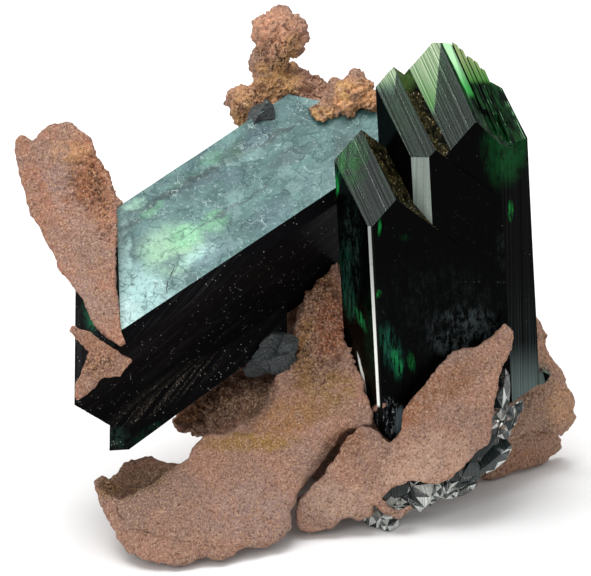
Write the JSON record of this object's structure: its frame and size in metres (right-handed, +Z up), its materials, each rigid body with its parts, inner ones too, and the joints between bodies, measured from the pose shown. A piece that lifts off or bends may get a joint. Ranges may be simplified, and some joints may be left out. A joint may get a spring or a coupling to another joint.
{
  "type": "mineral specimen",
  "caption": "Vivianite specimen: dark green tabular and chisel-tipped crystals held by curved plates and knobs of brown iron crust",
  "frame": {"origin": "middle of the bounding box across X and Y, at its lowest point", "axes": "+Z up as the specimen rests, +X to the right of its front, +Y away from its front"},
  "size_m": [0.0842, 0.0606, 0.0702],
  "materials": {
    "dark_crystal": "glossy, very dark green, light passes only at thin tips",
    "pearly_crystal": "pearly blue-green cleavage on a dark crystal",
    "grey_crystal": "dark grey, part dusted",
    "clear_crystal": "clear to pale green-grey",
    "crust": "matt, sandy, pink-brown with orange and ochre patches"
  },
  "bodies": {
    "root": {"tall_crystals": "dark_crystal", "long_crystal": "pearly_crystal", "knot_crystals": "grey_crystal", "clear_druse": "clear_crystal", "crust_core": "crust", "front_plate": "crust", "right_plate": "crust", "right_ledge": "crust", "tongue_plate": "crust", "left_end_crust": "crust"}
  },
  "joints": []
}
